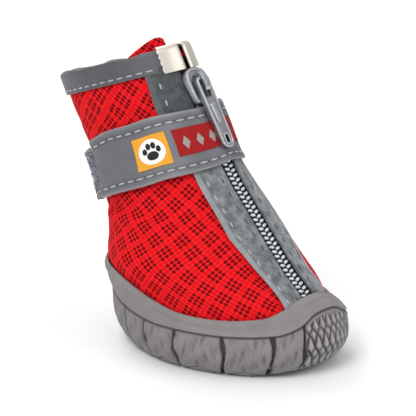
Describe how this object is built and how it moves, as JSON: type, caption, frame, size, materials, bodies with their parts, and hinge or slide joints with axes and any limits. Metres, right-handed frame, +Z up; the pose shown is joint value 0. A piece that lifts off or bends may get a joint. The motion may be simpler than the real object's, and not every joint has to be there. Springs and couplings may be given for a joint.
{
  "type": "dog boot",
  "caption": "Small dog boot: zipped mesh upper on a moulded rubber cup sole, with a bound collar, an ankle strap and a swinging zip pull.",
  "frame": {"origin": "on the ground under the middle of the boot's bounding box", "axes": "+X towards the toe, +Y to the boot's left, +Z up"},
  "size_m": [0.0986, 0.0554, 0.0864],
  "materials": {
    "rubber": "moulded warm grey rubber, satin",
    "footbed": "dark felt-faced foam",
    "mesh": "bright red open spacer mesh",
    "tape": "dark grey reflective woven tape",
    "clamp": "nickel-plated, satin",
    "pile": "pale mauve loop pile",
    "coil": "silvered nylon coil on dark tape",
    "zip_metal": "gunmetal-silver die-cast zinc"
  },
  "bodies": {
    "boot": {"outsole": "rubber", "insole": "footbed", "upper": "mesh", "tongue": "mesh", "collar_binding": "tape", "binding_clamp_left": "clamp", "binding_clamp_right": "clamp", "ankle_strap": "tape", "strap_pile": "pile", "zip_chain": "coil", "zip_slider": "zip_metal"},
    "pull": {"zip_pull": "zip_metal"}
  },
  "joints": [
    {"name": "pull_swing", "type": "hinge", "parent": "boot", "child": "pull", "pos_m": [0.00138, 0, 0.07641], "axis": [0, -1, 0], "range_deg": [0, 160]}
  ]
}
